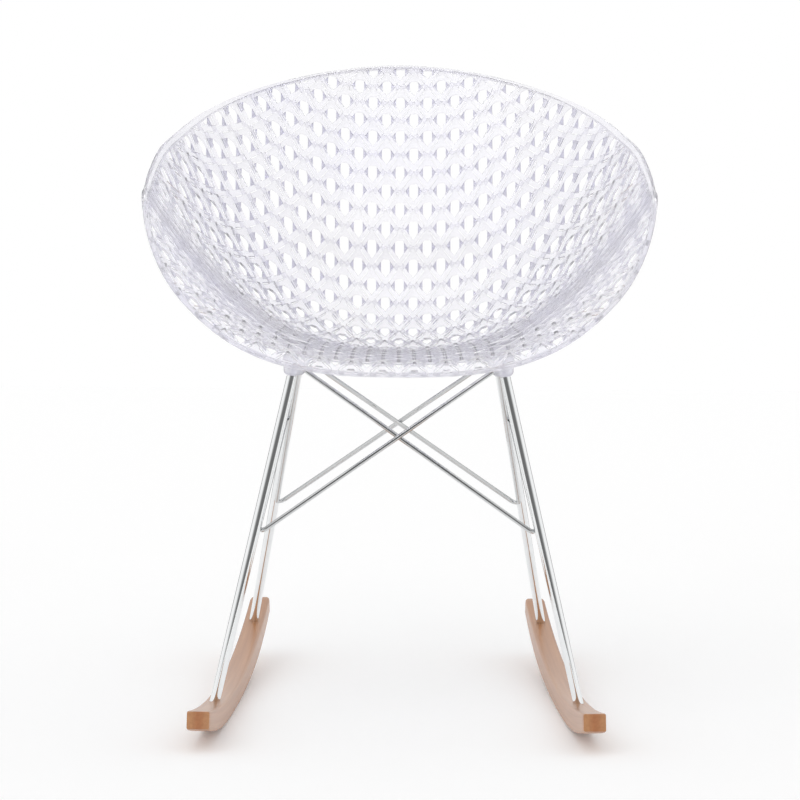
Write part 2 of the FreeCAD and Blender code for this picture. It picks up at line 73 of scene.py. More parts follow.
# Slant of the rising sides, in degrees, and the arc length over which it changes.
FLARE_BACK = 60.84
FLARE_SEAT = 88.0
FLARE_CHANGE = 300.0

# Rim outline laid out flat: half width, arc distance of the widest place, squareness of the
# upper and lower half, and the steps in which it is first laid out.
HALF_WIDTH = 294.2
RIM_CENTRE = 508.0
POWER_TOP = 2.19
POWER_LOW = 4.4
FINE_STEPS = 2400

# Rim: its section is a rounded bead, set in from the outline.
RIM_STEPS = 320
RIM_SIDES = 12
RIM_INSET = 3.1
RIM_HALF_WIDTH = 2.0
RIM_HALF_HEIGHT = 2.6
RIM_SQUARENESS = 0.8

# Lattice: two bonded layers of crossed bands. Its plates end inside the rim, and its openings
# just before it. Here the soft edge is in metres.
HALF_THICK = 2.75
PLATE_STEPS = 260
PLATE_INSET = 4.6
OPENING_INSET = 5.8
SOFT_EDGE = 0.0005
SOFT_EDGE_ANGLE = 40.0

# Openings: columns and rows, and the shapes about the middle of an opening of the front layer.
# The back layer's openings lie lower, and the solid's lie half way between the two.
PITCH_X = 17.3
PITCH_S = 48.46
BACK_SHIFT = 10.6
SOLID_SHIFT = 5.3
FIRST_S = 57.65 - SOLID_SHIFT
COLUMNS = range(-17, 18)
ROWS = range(-2, 19)
FRONT_OPENING = [(13.9, 0.0), (0.0, 19.5), (-13.9, 0.0), (0.0, -19.5)]
BACK_OPENING = [(13.9, 0.0), (1.8, 17.0), (-1.8, 17.0), (-13.9, 0.0), (-3.2, -15.0), (3.2, -15.0)]
SMALLEST_OPENING = 25.0
SIDE_STEP = 6.0
SHORTEST_SIDE = 0.8
PAD_RADIUS = 21.0

# Small webs in the side corners where the openings of both layers overlap.
WEB = [(5.6, -1.8), (10.6, 5.3), (5.6, 12.4)]
WEB_HEIGHTS = (-0.8, -2.2)
SMALLEST_WEB = 8.0

# Bosses: -1 is the left side.
PLACES = {
    "front_left": (-1, "front"),
    "front_right": (1, "front"),
    "rear_left": (-1, "rear"),
    "rear_right": (1, "rear"),
}
BOSS_X = 118.0
BOSS_Y = {"front": -187.5, "rear": 3.5}
BOSS_Z = {"front": 400.5, "rear": 403.5}
BOSS_SHORTER = 1.6
BOSS_RADIUS = 12.4
BOSS_FLAT_RADIUS = 6.6
BOSS_ROUND_WIDTH = 5.8
BOSS_ROUND_HEIGHT = 6.6
BOSS_ROUND_STEPS = 8
BOSS_INTO_SHELL = 1.0
BOSS_SIDES = 48
# Arc distances between which the shell passes over the bosses.
BOSSES_FROM = 392.8
BOSSES_TO = TOTAL - PROFILE[-1][0]

# Rockers: lengths run from the front end, and the section's middle toes in to the rear.
ROCKER_LENGTH = 705.0
ROCKER_HALF_WIDTH = 13.0
ROCKER_DEPTH = 24.5
ROCKER_LOW_Y = 270.0
ROCKER_MID_RADIUS = 2400.0
ROCKER_FRONT_Y = 170.0
ROCKER_FRONT_RADIUS = 850.0
ROCKER_REAR_Y = 480.0
ROCKER_REAR_RADIUS = 977.0
ROCKER_TOP_Y = 277.0
ROCKER_TOP_RADIUS = 1715.0
ROCKER_FRONT_X = 215.2
ROCKER_REAR_X = 182.5
ROCKER_END_DEPTH = 20.0
ROCKER_STATIONS = 120
ROCKER_ROUND = 2.6
ROCKER_ROUND_MORE_AT_REAR = 2.2
ROCKER_END_ROUND = 0.8
ROCKER_CORNER_POINTS = 6

# Legs: feet on the rockers, as distances from the centre and depths.
LEG_RADIUS = 5.8
LEG_SIDES = 40
LEG_LENGTHS = 8
LEG_TOP = 414.0
LEG_INTO_BOSS = 1.5
FOOT = {"front": (208.0, -180.5), "rear": (186.6, 257.5)}
FOOT_DEPTH = 11.0

# Braces: each has a cross arm to the other side and an arm to the neighbouring boss. The
# solid's rod is a little thicker and sets the place of the vertex.
BRACE_RADIUS = 2.7
BRACE_SOLID_RADIUS = 3.0
BRACE_GAP = 0.1
BRACE_SIDES = 28
BRACE_BEND = 7.0
BRACE_BEND_STEPS = 10
BRACE_ARM_STEPS = 6
VERTEX_Z = {"front": 225.0, "rear": 226.0}
CROSS_END_X = 8.6
CROSS_END_Y = 5.3
CROSS_END_Z = 410.0
CROSS_SIGN = {"front_left": -1, "front_right": 1, "rear_left": 1, "rear_right": -1}
SIDE_END_X = {"front": 4.6, "rear": 0.2}
SIDE_END_Y = 10.5
SIDE_END_Z = 409.0


def spline_slopes(points):
    """Second derivatives of the natural cubic spline through the points."""
    n = len(points)
    second = [0.0] * n
    upper = [0.0] * n
    for i in range(1, n - 1):
        h0 = points[i][0] - points[i - 1][0]
        h1 = points[i + 1][0] - points[i][0]
        ratio = h0 / (h0 + h1)
        p = ratio * second[i - 1] + 2.0
        second[i] = (ratio - 1.0) / p
        bend = (points[i + 1][1] - points[i][1]) / h1 - (points[i][1] - points[i - 1][1]) / h0
        upper[i] = (6.0 * bend / (h0 + h1) - ratio * upper[i - 1]) / p
    for i in range(n - 2, 0, -1):
        second[i] = second[i] * second[i + 1] + upper[i]
    return second


SECOND = spline_slopes(STATIONS)


def rise(s):
    """Rise of the sides at the arc distance s from the top."""
    s = min(STATIONS[-1][0], max(STATIONS[0][0], s))
    k = 0
    while k < len(STATIONS) - 2 and s > STATIONS[k + 1][0]:
        k += 1
    (s0, r0), (s1, r1) = STATIONS[k], STATIONS[k + 1]
    h = s1 - s0
    a = (s1 - s) / h
    b = (s - s0) / h
    bow = ((a ** 3 - a) * SECOND[k] + (b ** 3 - b) * SECOND[k + 1]) * h * h / 6.0
    return a * r0 + b * r1 + bow


def centre_profile(s):
    """Depth and height of the centre line at the arc distance s from the top."""
    y = TOP_Y
    z = TOP_Z
    left = s
    for index, (length, lean_a, lean_b) in enumerate(PROFILE):
        part = left if index == len(PROFILE) - 1 else min(left, length)
        a = math.radians(lean_a)
        k = math.radians(lean_b - lean_a) / length
        b = a + k * part
        y += (math.cos(b) - math.cos(a)) / k
        z -= (math.sin(b) - math.sin(a)) / k
        left -= part
        if left <= 0.0:
            break
    return y, z


def smooth(t):
    t = min(1.0, max(0.0, t))
    return t * t * (3.0 - 2.0 * t)


def surface(x, s):
    """Place on the middle surface of the shell."""
    y, z = centre_profile(s)
    up = rise(s) * (abs(x) / RISE_AT) ** RISE_POWER
    turn = smooth((s - 0.5 * TOTAL) / FLARE_CHANGE)
    slant = math.radians(FLARE_BACK + (FLARE_SEAT - FLARE_BACK) * turn)
    return Vector((x, y - up / math.tan(slant), z + up))


def normal(x, s):
    """Unit normal on the sitter's side."""
    along_x = surface(x + 0.5, s) - surface(x - 0.5, s)
    along_s = surface(x, s + 0.5) - surface(x, s - 0.5)
    return along_s.cross(along_x).normalized()


def off_surface(x, s, height):
    """Place at a height off the middle surface, in metres."""
    return (surface(x, s) + normal(x, s) * height) * MM


def arc_at(x, y):
    """Arc distance at which the shell passes over a place under the seat."""
    low = BOSSES_FROM
    high = BOSSES_TO
    for _round in range(40):
        middle = 0.5 * (low + high)
        if surface(x, middle).y > y:
            low = middle
        else:
            high = middle
    return 0.5 * (low + high)


def rim_outline(inset, count):
    """Outline of the shell, laid out flat, in even steps."""
    top = RIM_CENTRE - inset
    low = TOTAL - RIM_CENTRE - inset
    wide = HALF_WIDTH - inset
    fine = []
    for k in range(FINE_STEPS):
        angle = 2.0 * math.pi * k / FINE_STEPS
        c = math.cos(angle)
        d = math.sin(angle)
        power = POWER_LOW if d > 0.0 else POWER_TOP
        reach = low if d > 0.0 else top
        fine.append((wide * math.copysign(abs(c) ** (2.0 / power), c),
                     RIM_CENTRE + reach * math.copysign(abs(d) ** (2.0 / power), d)))
    gone = [0.0]
    for k in range(FINE_STEPS):
        a = fine[k]
        b = fine[(k + 1) % FINE_STEPS]
        gone.append(gone[-1] + math.hypot(b[0] - a[0], b[1] - a[1]))
    result = []
    k = 0
    for i in range(count):
        want = gone[-1] * i / count
        while gone[k + 1] < want:
            k += 1
        f = (want - gone[k]) / max(1e-9, gone[k + 1] - gone[k])
        a = fine[k]
        b = fine[(k + 1) % FINE_STEPS]
        result.append((a[0] + f * (b[0] - a[0]), a[1] + f * (b[1] - a[1])))
    return result


def clip(polygon, outline):
    """The piece of a convex polygon inside a convex outline."""
    result = polygon
    n = len(outline)
    for k in range(n):
        ax, ay = outline[k]
        bx, by = outline[(k + 1) % n]
        kept = []
        for j in range(len(result)):
            px, py = result[j]
            qx, qy = result[(j + 1) % len(result)]
            dp = (bx - ax) * (py - ay) - (by - ay) * (px - ax)
            dq = (bx - ax) * (qy - ay) - (by - ay) * (qx - ax)
            if dp >= 0.0:
                kept.append((px, py))
            if (dp > 0.0 > dq) or (dq > 0.0 > dp):
                f = dp / (dp - dq)
                kept.append((px + f * (qx - px), py + f * (qy - py)))
        result = kept
        if len(result) < 3:
            return []
    return result


def area(polygon):
    total = 0.0
    for j in range(len(polygon)):
        px, py = polygon[j]
        qx, qy = polygon[(j + 1) % len(polygon)]
        total += px * qy - qx * py
    return 0.5 * total


def divided(polygon):
    """The polygon without very short sides, and with its long sides split."""
    result = []
    for j in range(len(polygon)):
        px, py = polygon[j]
        qx, qy = polygon[(j + 1) % len(polygon)]
        length = math.hypot(qx - px, qy - py)
        if length < SHORTEST_SIDE:
            continue
        parts = max(1, int(round(length / SIDE_STEP)))
        for k in range(parts):
            f = k / parts
            result.append((px + f * (qx - px), py + f * (qy - py)))
    return result


def lattice_places(pads):
    """Middles of the front layer's openings, laid out flat, leaving out those at the bosses."""
    result = []
    for i in COLUMNS:
        for j in ROWS:
            x = i * PITCH_X
            s = FIRST_S + (j + 0.5 * (i % 2)) * PITCH_S
            if all(math.hypot(x - px, s + SOLID_SHIFT - ps) >= PAD_RADIUS for px, ps in pads):
                result.append((x, s))
    return result


def layer_openings(shape, shift, edge, places):
    """Openings of one layer, as flat polygons."""
    result = []
    for x, s in places:
        middle = s + shift
        opening = clip([(x + dx, middle + ds) for dx, ds in shape], edge)
        if opening and area(opening) > SMALLEST_OPENING:
            opening = divided(opening)
            if len(opening) >= 3:
                result.append(opening)
    return result


def corner_webs(edge, places):
    """Small webs of the lattice, as flat polygons."""
    result = []
    for x, s in places:
        for side in (-1, 1):
            web = [(x + side * dx, s + ds) for dx, ds in WEB]
            if side < 0:
                web.reverse()
            web = clip(web, edge)
            if web and area(web) > SMALLEST_WEB:
                result.append(web)
    return result


def add_band(faces, start_a, start_b, count):
    """Faces between two closed rings of as many points."""
    for i in range(count):
        j = (i + 1) % count
        faces.append((start_a + i, start_a + j, start_b + j, start_b + i))


def add_plate(verts, faces, outline, openings, low, high):
    """One closed plate with openings, between two heights off the middle surface."""
    flat = [Vector(p) for p in outline]
    rings = [list(range(len(outline)))]
    owner = [-1] * len(outline)
    for index, opening in enumerate(openings):
        rings.append(list(range(len(flat), len(flat) + len(opening))))
        flat += [Vector(p) for p in opening]
        owner += [index] * len(opening)
    edges = []
    for ring in rings:
        edges += [(ring[k], ring[(k + 1) % len(ring)]) for k in range(len(ring))]
    points, _edges, triangles, source, _e, _f = delaunay_2d_cdt(flat, edges, [], 0, 1e-5)
    owners = [{owner[k] for k in row} for row in source]
    base = len(verts)
    count = len(points)
    for height in (high, low):
        for p in points:
            verts.append(off_surface(p.x, p.y, height))
    for a, b, c in triangles:
        # A triangle whose corners all lie on one opening fills that opening.
        if any(k >= 0 for k in owners[a] & owners[b] & owners[c]):
            continue
        faces.append((base + a, base + b, base + c))
        faces.append((base + count + c, base + count + b, base + count + a))
    new_of = {old: k for k, row in enumerate(source) for old in row}
    for ring in rings:
        for k in range(len(ring)):
            a = new_of[ring[k]]
            b = new_of[ring[(k + 1) % len(ring)]]
            if a != b:
                faces.append((base + a, base + b, base + count + b, base + count + a))


def mesh_object(name, verts, faces, material, smooth_angle):
    """Object with smooth shading up to an angle, in degrees."""
    mesh = bpy.data.meshes.new(name)
    mesh.from_pydata([tuple(v) for v in verts], [], faces)
    mesh.validate()
    mesh.update()
    work = bmesh.new()
    work.from_mesh(mesh)
    bmesh.ops.recalc_face_normals(work, faces=work.faces[:])
    work.to_mesh(mesh)
    work.free()
    mesh.polygons.foreach_set("use_smooth", [True] * len(mesh.polygons))
    mesh.set_sharp_from_angle(angle=math.radians(smooth_angle))
    mesh.materials.append(material)
    item = bpy.data.objects.new(name, mesh)
    bpy.context.scene.collection.objects.link(item)
    return item


def node_material(name):
    material = bpy.data.materials.new(name)
    material.use_nodes = True
    tree = material.node_tree
    shader = tree.nodes["Principled BSDF"]
    return material, tree, shader


def noise(tree, place, scale, detail, stretch=(1.0, 1.0, 1.0)):
    mapping = tree.nodes.new("ShaderNodeMapping")
    mapping.inputs["Scale"].default_value = stretch
    texture = tree.nodes.new("ShaderNodeTexNoise")
    texture.inputs["Scale"].default_value = scale
    texture.inputs["Detail"].default_value = detail
    tree.links.new(place, mapping.inputs["Vector"])
    tree.links.new(mapping.outputs["Vector"], texture.inputs["Vector"])
    return texture.outputs["Fac"]


def ramp(tree, source, stops):
    node = tree.nodes.new("ShaderNodeValToRGB")
    while len(node.color_ramp.elements) < len(stops):
        node.color_ramp.elements.new(0.5)
    for element, (place, colour) in zip(node.color_ramp.elements, stops):
        element.position = place
        element.color = (*colour, 1)
    tree.links.new(source, node.inputs["Fac"])
    return node.outputs["Color"]


def plastic(name, low, high, clear, rough):
    """Clear moulded plastic, faintly lavender, a little uneven."""
    material, tree, shader = node_material(name)
    coords = tree.nodes.new("ShaderNodeTexCoord")
    cloud = noise(tree, coords.outputs["Object"], 9.0, 2.0)
    colour = ramp(tree, cloud, [(0.3, low), (0.7, high)])
    tree.links.new(colour, shader.inputs["Base Color"])
    shader.inputs["Roughness"].default_value = rough
    # Lower than the real plastic's, because many stacked layers otherwise turn dark. The coat
    # gives the gloss.
    shader.inputs["IOR"].default_value = 1.17
    shader.inputs["Coat Weight"].default_value = 0.4
    shader.inputs["Coat Roughness"].default_value = 0.05
    shader.inputs["Transmission Weight"].default_value = clear
    return material


def chrome(name, tone):
    """Polished chrome, a little uneven in tone and gloss."""
    material, tree, shader = node_material(name)
    shader.inputs["Metallic"].default_value = 1.0
    coords = tree.nodes.new("ShaderNodeTexCoord")
    cloud = noise(tree, coords.outputs["Object"], 60.0, 4.0, (1.0, 1.0, 0.15))
    colour = ramp(tree, cloud, [
        (0.3, (0.93 * tone, 0.95 * tone, 0.955 * tone)),
        (0.7, (tone, 1.01 * tone, 1.015 * tone)),
    ])
    rough = ramp(tree, cloud, [(0.3, (0.05, 0.05, 0.05)), (0.7, (0.10, 0.10, 0.10))])
    tree.links.new(colour, shader.inputs["Base Color"])
    tree.links.new(rough, shader.inputs["Roughness"])
    return material


def wood(name):
    """Bent wood under a satin lacquer: grain along the bend, and the front end face lighter towards
    both sides and darker in the middle.
    """
    material, tree, shader = node_material(name)
    # The attribute holds a point's place across, along and up the rocker as if it were
    # straight, in metres.
    attribute = tree.nodes.new("ShaderNodeAttribute")
    attribute.attribute_name = "grain"
    grain = noise(tree, attribute.outputs["Vector"], 260.0, 5.0, (1.0, 0.02, 1.0))
    colour = ramp(tree, grain, [
        (0.30, (0.405, 0.183, 0.077)),
        (0.50, (0.447, 0.207, 0.089)),
        (0.70, (0.489, 0.234, 0.103)),
    ])
    split = tree.nodes.new("ShaderNodeSeparateXYZ")
    tree.links.new(attribute.outputs["Vector"], split.inputs["Vector"])
    across = tree.nodes.new("ShaderNodeMapRange")
    across.inputs["From Min"].default_value = -ROCKER_HALF_WIDTH * MM
    across.inputs["From Max"].default_value = ROCKER_HALF_WIDTH * MM
    tree.links.new(split.outputs["X"], across.inputs["Value"])
    # Near the front end face the colour is lighter towards both sides and darker in the middle.
    end_face_tone = ramp(tree, across.outputs["Result"], [
        (0.20, (1, 0.98, 0.86)),
        (0.46, (0.85, 0.66, 0.47)),
        (0.62, (0.88, 0.71, 0.53)),
        (0.85, (1, 0.99, 0.90)),
    ])
    # The lighter sides and darker middle fade out over the first 4 mm behind the front end face.
    end = tree.nodes.new("ShaderNodeMapRange")
    end.inputs["From Min"].default_value = 0.004
    end.inputs["From Max"].default_value = 0.0
    tree.links.new(split.outputs["Y"], end.inputs["Value"])
    tint = tree.nodes.new("ShaderNodeMix")
    tint.data_type = "RGBA"
    tint.blend_type = "MULTIPLY"
    tree.links.new(end.outputs["Result"], tint.inputs[0])
    tree.links.new(colour, tint.inputs[6])
    tree.links.new(end_face_tone, tint.inputs[7])
    tree.links.new(tint.outputs[2], shader.inputs["Base Color"])
    shader.inputs["Roughness"].default_value = 0.5
    shader.inputs["Coat Weight"].default_value = 0.6
    shader.inputs["Coat Roughness"].default_value = 0.22
    shader.inputs["Coat IOR"].default_value = 1.5
    return material


SHELL_LOOK = plastic("shell_plastic_look", (0.958, 0.953, 1.0), (0.980, 0.975, 1.0), 0.84, 0.05)
# The webs get a darker, greyer and less clear copy of the shell's plastic: painted shade for the
# recessed webs.
WEB_PAINTED_SHADE_LOOK = plastic("shell_web_painted_shade_look", (0.74, 0.73, 0.84), (0.77, 0.76, 0.87), 0.55, 0.12)
BOSS_LOOK = plastic("boss_plastic_look", (0.90, 0.895, 0.955), (0.93, 0.925, 0.98), 0.65, 0.10)
LEG_LOOK = chrome("leg_chrome_look", 0.89)
BRACE_LOOK = chrome("brace_chrome_look", 0.64)
WOOD_LOOK = wood("rocker_wood_look")


def build_lattice():
    """Two bonded plates of crossed bands, with webs in the corners of the openings."""
    pads = []
    for side, end in PLACES.values():
        bx = side * BOSS_X
        pads.append((bx, arc_at(bx, BOSS_Y[end])))
    places = lattice_places(pads)
    edge = rim_outline(OPENING_INSET, PLATE_STEPS)
    border = rim_outline(PLATE_INSET, PLATE_STEPS)
    verts = []
    faces = []
    front = layer_openings(FRONT_OPENING, 0.0, edge, places)
    back = layer_openings(BACK_OPENING, BACK_SHIFT, edge, places)
    add_plate(verts, faces, border, front, 0.0, HALF_THICK)
    add_plate(verts, faces, border, back, -HALF_THICK, 0.0)
    plate_faces = len(faces)
    for web in corner_webs(edge, places):
        base = len(verts)
        n = len(web)
        for height in WEB_HEIGHTS:
            for x, s in web:
                verts.append(off_surface(x, s, height))
        faces.append(tuple(range(base, base + n)))
        faces.append(tuple(range(base + 2 * n - 1, base + n - 1, -1)))
        add_band(faces, base, base + n, n)
    lattice = mesh_object("shell_lattice", verts, faces, SHELL_LOOK, 35.0)
    # The webs take the darker plastic, which is painted shade.
    lattice.data.materials.append(WEB_PAINTED_SHADE_LOOK)
    for index in range(plate_faces, len(faces)):
        lattice.data.polygons[index].material_index = 1
    soften = lattice.modifiers.new("soft_edges", "BEVEL")
    soften.width = SOFT_EDGE
    soften.segments = 1
    soften.limit_method = "ANGLE"
    soften.angle_limit = math.radians(SOFT_EDGE_ANGLE)
    return lattice


def build_rim():
    """Smooth bead round the lattice."""
    section = []
    for k in range(RIM_SIDES):
        angle = 2.0 * math.pi * k / RIM_SIDES
        c = math.cos(angle)
        d = math.sin(angle)
        section.append((RIM_INSET - RIM_HALF_WIDTH * math.copysign(abs(c) ** RIM_SQUARENESS, c),
                        RIM_HALF_HEIGHT * math.copysign(abs(d) ** RIM_SQUARENESS, d)))
    verts = []
    faces = []
    for inset, height in section:
        for x, s in rim_outline(inset, RIM_STEPS):
            verts.append(off_surface(x, s, height))
    for k in range(RIM_SIDES):
        add_band(faces, k * RIM_STEPS, (k + 1) % RIM_SIDES * RIM_STEPS, RIM_STEPS)
    return mesh_object("shell_rim", verts, faces, SHELL_LOOK, 80.0)


def build_shell():
    for piece in (build_lattice(), build_rim()):
        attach(piece, "root")
        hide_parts("seat_shell")


def rocker_bottom(t):
    """Height of a rocker's underside: a rolling middle with a sharper curve at each end."""
    middle = 2.0 * ROCKER_MID_RADIUS
    for start, turn, radius in ((ROCKER_FRONT_Y, -1.0, ROCKER_FRONT_RADIUS),
                                (ROCKER_REAR_Y, 1.0, ROCKER_REAR_RADIUS)):
        d = (t - start) * turn
        if d > 0.0:
            reach = abs(start - ROCKER_LOW_Y)
            return reach ** 2 / middle + reach / ROCKER_MID_RADIUS * d + d * d / (2.0 * radius)
    return (t - ROCKER_LOW_Y) ** 2 / middle


def rocker_top(t):
    return ROCKER_DEPTH + (t - ROCKER_TOP_Y) ** 2 / (2.0 * ROCKER_TOP_RADIUS)


def rocker_section(depth, f, shrink):
    """Closed section with rounded corners, about its middle; f runs from 0 at the front."""
    r = ROCKER_ROUND + ROCKER_ROUND_MORE_AT_REAR * f * f
    reach = r - shrink
    points = []
    for corner, (across, up) in enumerate(((1, 1), (-1, 1), (-1, -1), (1, -1))):
        cx = across * (ROCKER_HALF_WIDTH - r)
        cz = up * (0.5 * depth - r)
        for m in range(ROCKER_CORNER_POINTS):
            angle = math.radians(90.0 * corner + 90.0 / (ROCKER_CORNER_POINTS - 1) * m)
            points.append((cx + reach * math.cos(angle), cz + reach * math.sin(angle)))
    return points


def build_rocker(name, side):
    """Bent rocker with rounded long edges, its grain along the bend."""
    slope_front = rocker_bottom(0.0) - rocker_bottom(1.0)
    slope_rear = rocker_bottom(ROCKER_LENGTH) - rocker_bottom(ROCKER_LENGTH - 1.0)
    toe = math.atan2(ROCKER_FRONT_X - ROCKER_REAR_X, ROCKER_LENGTH) * side
    middle_x = side * 0.5 * (ROCKER_FRONT_X + ROCKER_REAR_X)
    turn = Matrix.Rotation(toe, 3, "Z")
    verts = []
    faces = []
    grain = []
    for k in range(ROCKER_STATIONS + 1):
        f = k / ROCKER_STATIONS
        t_low = f * ROCKER_LENGTH
        t_high = (slope_front * ROCKER_END_DEPTH
                  + f * (ROCKER_LENGTH - (slope_front + slope_rear) * ROCKER_END_DEPTH))
        low = Vector((0.0, t_low - 0.5 * ROCKER_LENGTH, rocker_bottom(t_low)))
        high = Vector((0.0, t_high - 0.5 * ROCKER_LENGTH, rocker_top(t_high)))
        up = high - low
        depth = up.length
        up.normalize()
        centre = (low + high) * 0.5
        shrink = ROCKER_END_ROUND if k in (0, ROCKER_STATIONS) else 0.0
        for px, pz in rocker_section(depth, f, shrink):
            point = turn @ (centre + Vector((px, 0.0, 0.0)) + up * pz)
            point.x += middle_x
            verts.append(point * MM)
            grain.append((px * MM, f * ROCKER_LENGTH * MM, pz * MM))
    sides = 4 * ROCKER_CORNER_POINTS
    for k in range(ROCKER_STATIONS):
        add_band(faces, k * sides, (k + 1) * sides, sides)
    for k in (0, ROCKER_STATIONS):
        faces.append(tuple(range(k * sides, (k + 1) * sides)))
    item = mesh_object(name + "_wood", verts, faces, WOOD_LOOK, 50.0)
    attribute = item.data.attributes.new("grain", "FLOAT_VECTOR", "POINT")
    attribute.data.foreach_set("vector", [c for row in grain for c in row])
    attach(item, "root")
    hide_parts(name)


def tube(name, path, radius, sides, look):
    """Round bar along a path of points."""
    verts = []
    faces = []
    across = None
    for k, point in enumerate(path):
        before = path[max(0, k - 1)]
        after = path[min(len(path) - 1, k + 1)]
        along = (after - before).normalized()
        if across is None:
            across = along.orthogonal().normalized()
        across = (across - along * across.dot(along)).normalized()
        other = along.cross(across)
        for i in range(sides):
            angle = 2.0 * math.pi * i / sides
            out = across * math.cos(angle) + other * math.sin(angle)
            verts.append((point + out * radius) * MM)
    for k in range(len(path) - 1):
        add_band(faces, k * sides, (k + 1) * sides, sides)
    faces.append(tuple(range(sides)))
    faces.append(tuple(range(len(verts) - sides, len(verts))))
    return mesh_object(name, verts, faces, look, 40.0)


def leg_ends(place):
    """Lower end in the rocker, and the place at which the leg's and the boss's middles meet."""
    side, end = PLACES[place]
    x = side * FOOT[end][0]
    y = FOOT[end][1]
    on_top = Vector((x, y, rocker_top(y + 0.5 * ROCKER_LENGTH)))
    upper = Vector((side * BOSS_X, BOSS_Y[end], LEG_TOP))
    direction = (upper - on_top).normalized()
    return on_top - direction * FOOT_DEPTH, upper


def build_leg(place):
    low, high = leg_ends(place)
    end = PLACES[place][1]
    f = (BOSS_Z[end] + LEG_INTO_BOSS - low.z) / (high.z - low.z)
    top = low + (high - low) * f
    path = [low + (top - low) * (k / LEG_LENGTHS) for k in range(LEG_LENGTHS + 1)]
    item = tube("leg_%s_rod" % place, path, LEG_RADIUS, LEG_SIDES, LEG_LOOK)
    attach(item, "root")
    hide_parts("leg_" + place)


def brace_points(place):
    """Ends of the cross arm and the side arm, and the corner between them before it is bent."""
    side, end = PLACES[place]
    other = "rear" if end == "front" else "front"
    towards = 1 if end == "front" else -1
    cross = Vector((-side * (BOSS_X - CROSS_END_X),
                    BOSS_Y[end] + CROSS_SIGN[place] * CROSS_END_Y, CROSS_END_Z))
    arm = Vector((side * (BOSS_X - SIDE_END_X[other]),
                  BOSS_Y[other] - towards * SIDE_END_Y, SIDE_END_Z))
    low, high = leg_ends(place)
    on_leg = low + (high - low) * ((VERTEX_Z[end] - low.z) / (high.z - low.z))
    reach = LEG_RADIUS + BRACE_SOLID_RADIUS + BRACE_GAP
    apex = on_leg + Vector((-side * reach * math.sqrt(0.5), towards * reach * math.sqrt(0.5), 0.0))
    vertex = apex.copy()
    for _round in range(6):
        a = (cross - vertex).normalized()
        b = (arm - vertex).normalized()
        half = 0.5 * a.angle(b)
        inward = (a + b).normalized()
        vertex = apex - inward * BRACE_BEND * (1.0 / math.sin(half) - 1.0)
    return cross, vertex, arm


def build_brace(place):
    cross, vertex, arm = brace_points(place)
    a = (cross - vertex).normalized()
    b = (arm - vertex).normalized()
    half = 0.5 * a.angle(b)
    back = BRACE_BEND / math.tan(half)
    hub = vertex + (a + b).normalized() * (BRACE_BEND / math.sin(half))
    start = vertex + a * back
    end = vertex + b * back
    path = [cross + (start - cross) * (k / BRACE_ARM_STEPS) for k in range(BRACE_ARM_STEPS)]
    u = start - hub
    v = end - hub
    whole = u.angle(v)
    for k in range(BRACE_BEND_STEPS + 1):
        f = k / BRACE_BEND_STEPS
        bend = u * math.sin((1.0 - f) * whole) + v * math.sin(f * whole)
        path.append(hub + bend / math.sin(whole))
    path += [end + (arm - end) * (k / BRACE_ARM_STEPS) for k in range(1, BRACE_ARM_STEPS + 1)]
    item = tube("brace_%s_rod" % place, path, BRACE_RADIUS, BRACE_SIDES, BRACE_LOOK)
    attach(item, "root")
    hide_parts("brace_" + place)


def build_boss(place):
    """Round cup with a rounded lower edge, its top along the underside of the shell."""
    side, end = PLACES[place]
    bx = side * BOSS_X
    by = BOSS_Y[end]
    low = BOSS_Z[end] + BOSS_SHORTER
    s = arc_at(bx, by)
    up = normal(bx, s)
    top_mid = surface(bx, s) - up * (HALF_THICK - BOSS_INTO_SHELL)
    profile = [(BOSS_FLAT_RADIUS, 0.0)]
    for k in range(1, BOSS_ROUND_STEPS + 1):
        angle = math.radians(90.0 * k / BOSS_ROUND_STEPS)
        profile.append((BOSS_FLAT_RADIUS + BOSS_ROUND_WIDTH * math.sin(angle),
                        BOSS_ROUND_HEIGHT - BOSS_ROUND_HEIGHT * math.cos(angle)))
    turns = [2.0 * math.pi * i / BOSS_SIDES for i in range(BOSS_SIDES)]
    verts = []
    faces = []
    for r, h in profile:
        for angle in turns:
            x = bx + r * math.cos(angle)
            y = by + r * math.sin(angle)
            verts.append(Vector((x, y, low + h)) * MM)
    for angle in turns:
        x = bx + BOSS_RADIUS * math.cos(angle)
        y = by + BOSS_RADIUS * math.sin(angle)
        z = top_mid.z - (up.x * (x - top_mid.x) + up.y * (y - top_mid.y)) / up.z
        verts.append(Vector((x, y, z)) * MM)
    for k in range(len(profile)):
        add_band(faces, k * BOSS_SIDES, (k + 1) * BOSS_SIDES, BOSS_SIDES)
    faces.append(tuple(range(BOSS_SIDES)))
    faces.append(tuple(range(len(verts) - BOSS_SIDES, len(verts))))
    item = mesh_object("boss_%s_cup" % place, verts, faces, BOSS_LOOK, 40.0)
    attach(item, "root")
    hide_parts("boss_" + place)


build_shell()
build_rocker("rocker_left", -1)
build_rocker("rocker_right", 1)
for place in PLACES:
    build_leg(place)
    build_brace(place)
    build_boss(place)

# Stage, in metres.

WHITE = (1, 1, 1, 1)
BLACK = (0.0, 0.0, 0.0, 1)
FLOOR_HALF = 6
FLOOR_GLOW = 0.095
SKY_SEEN = 1.0
SKY_GIVEN = 0.85
SUN_STRENGTH = 0.6
SUN_SPREAD = 60.0
SUN_TURN = (52.0, 0.0, -20.0)
SIDE_CARD_GLOW = 0.35
# Camera fitted to the photograph: focal length in pixels, place, and turns in degrees.
FOCAL_PIXELS = 2798.0
PHOTO_PIXELS = 800.0
SENSOR_WIDTH = 36.0
CAMERA_PLACE = (0.00178, -3.3525, 0.585)
CAMERA_DOWN = 3.8
CAMERA_ROLL = 0.35


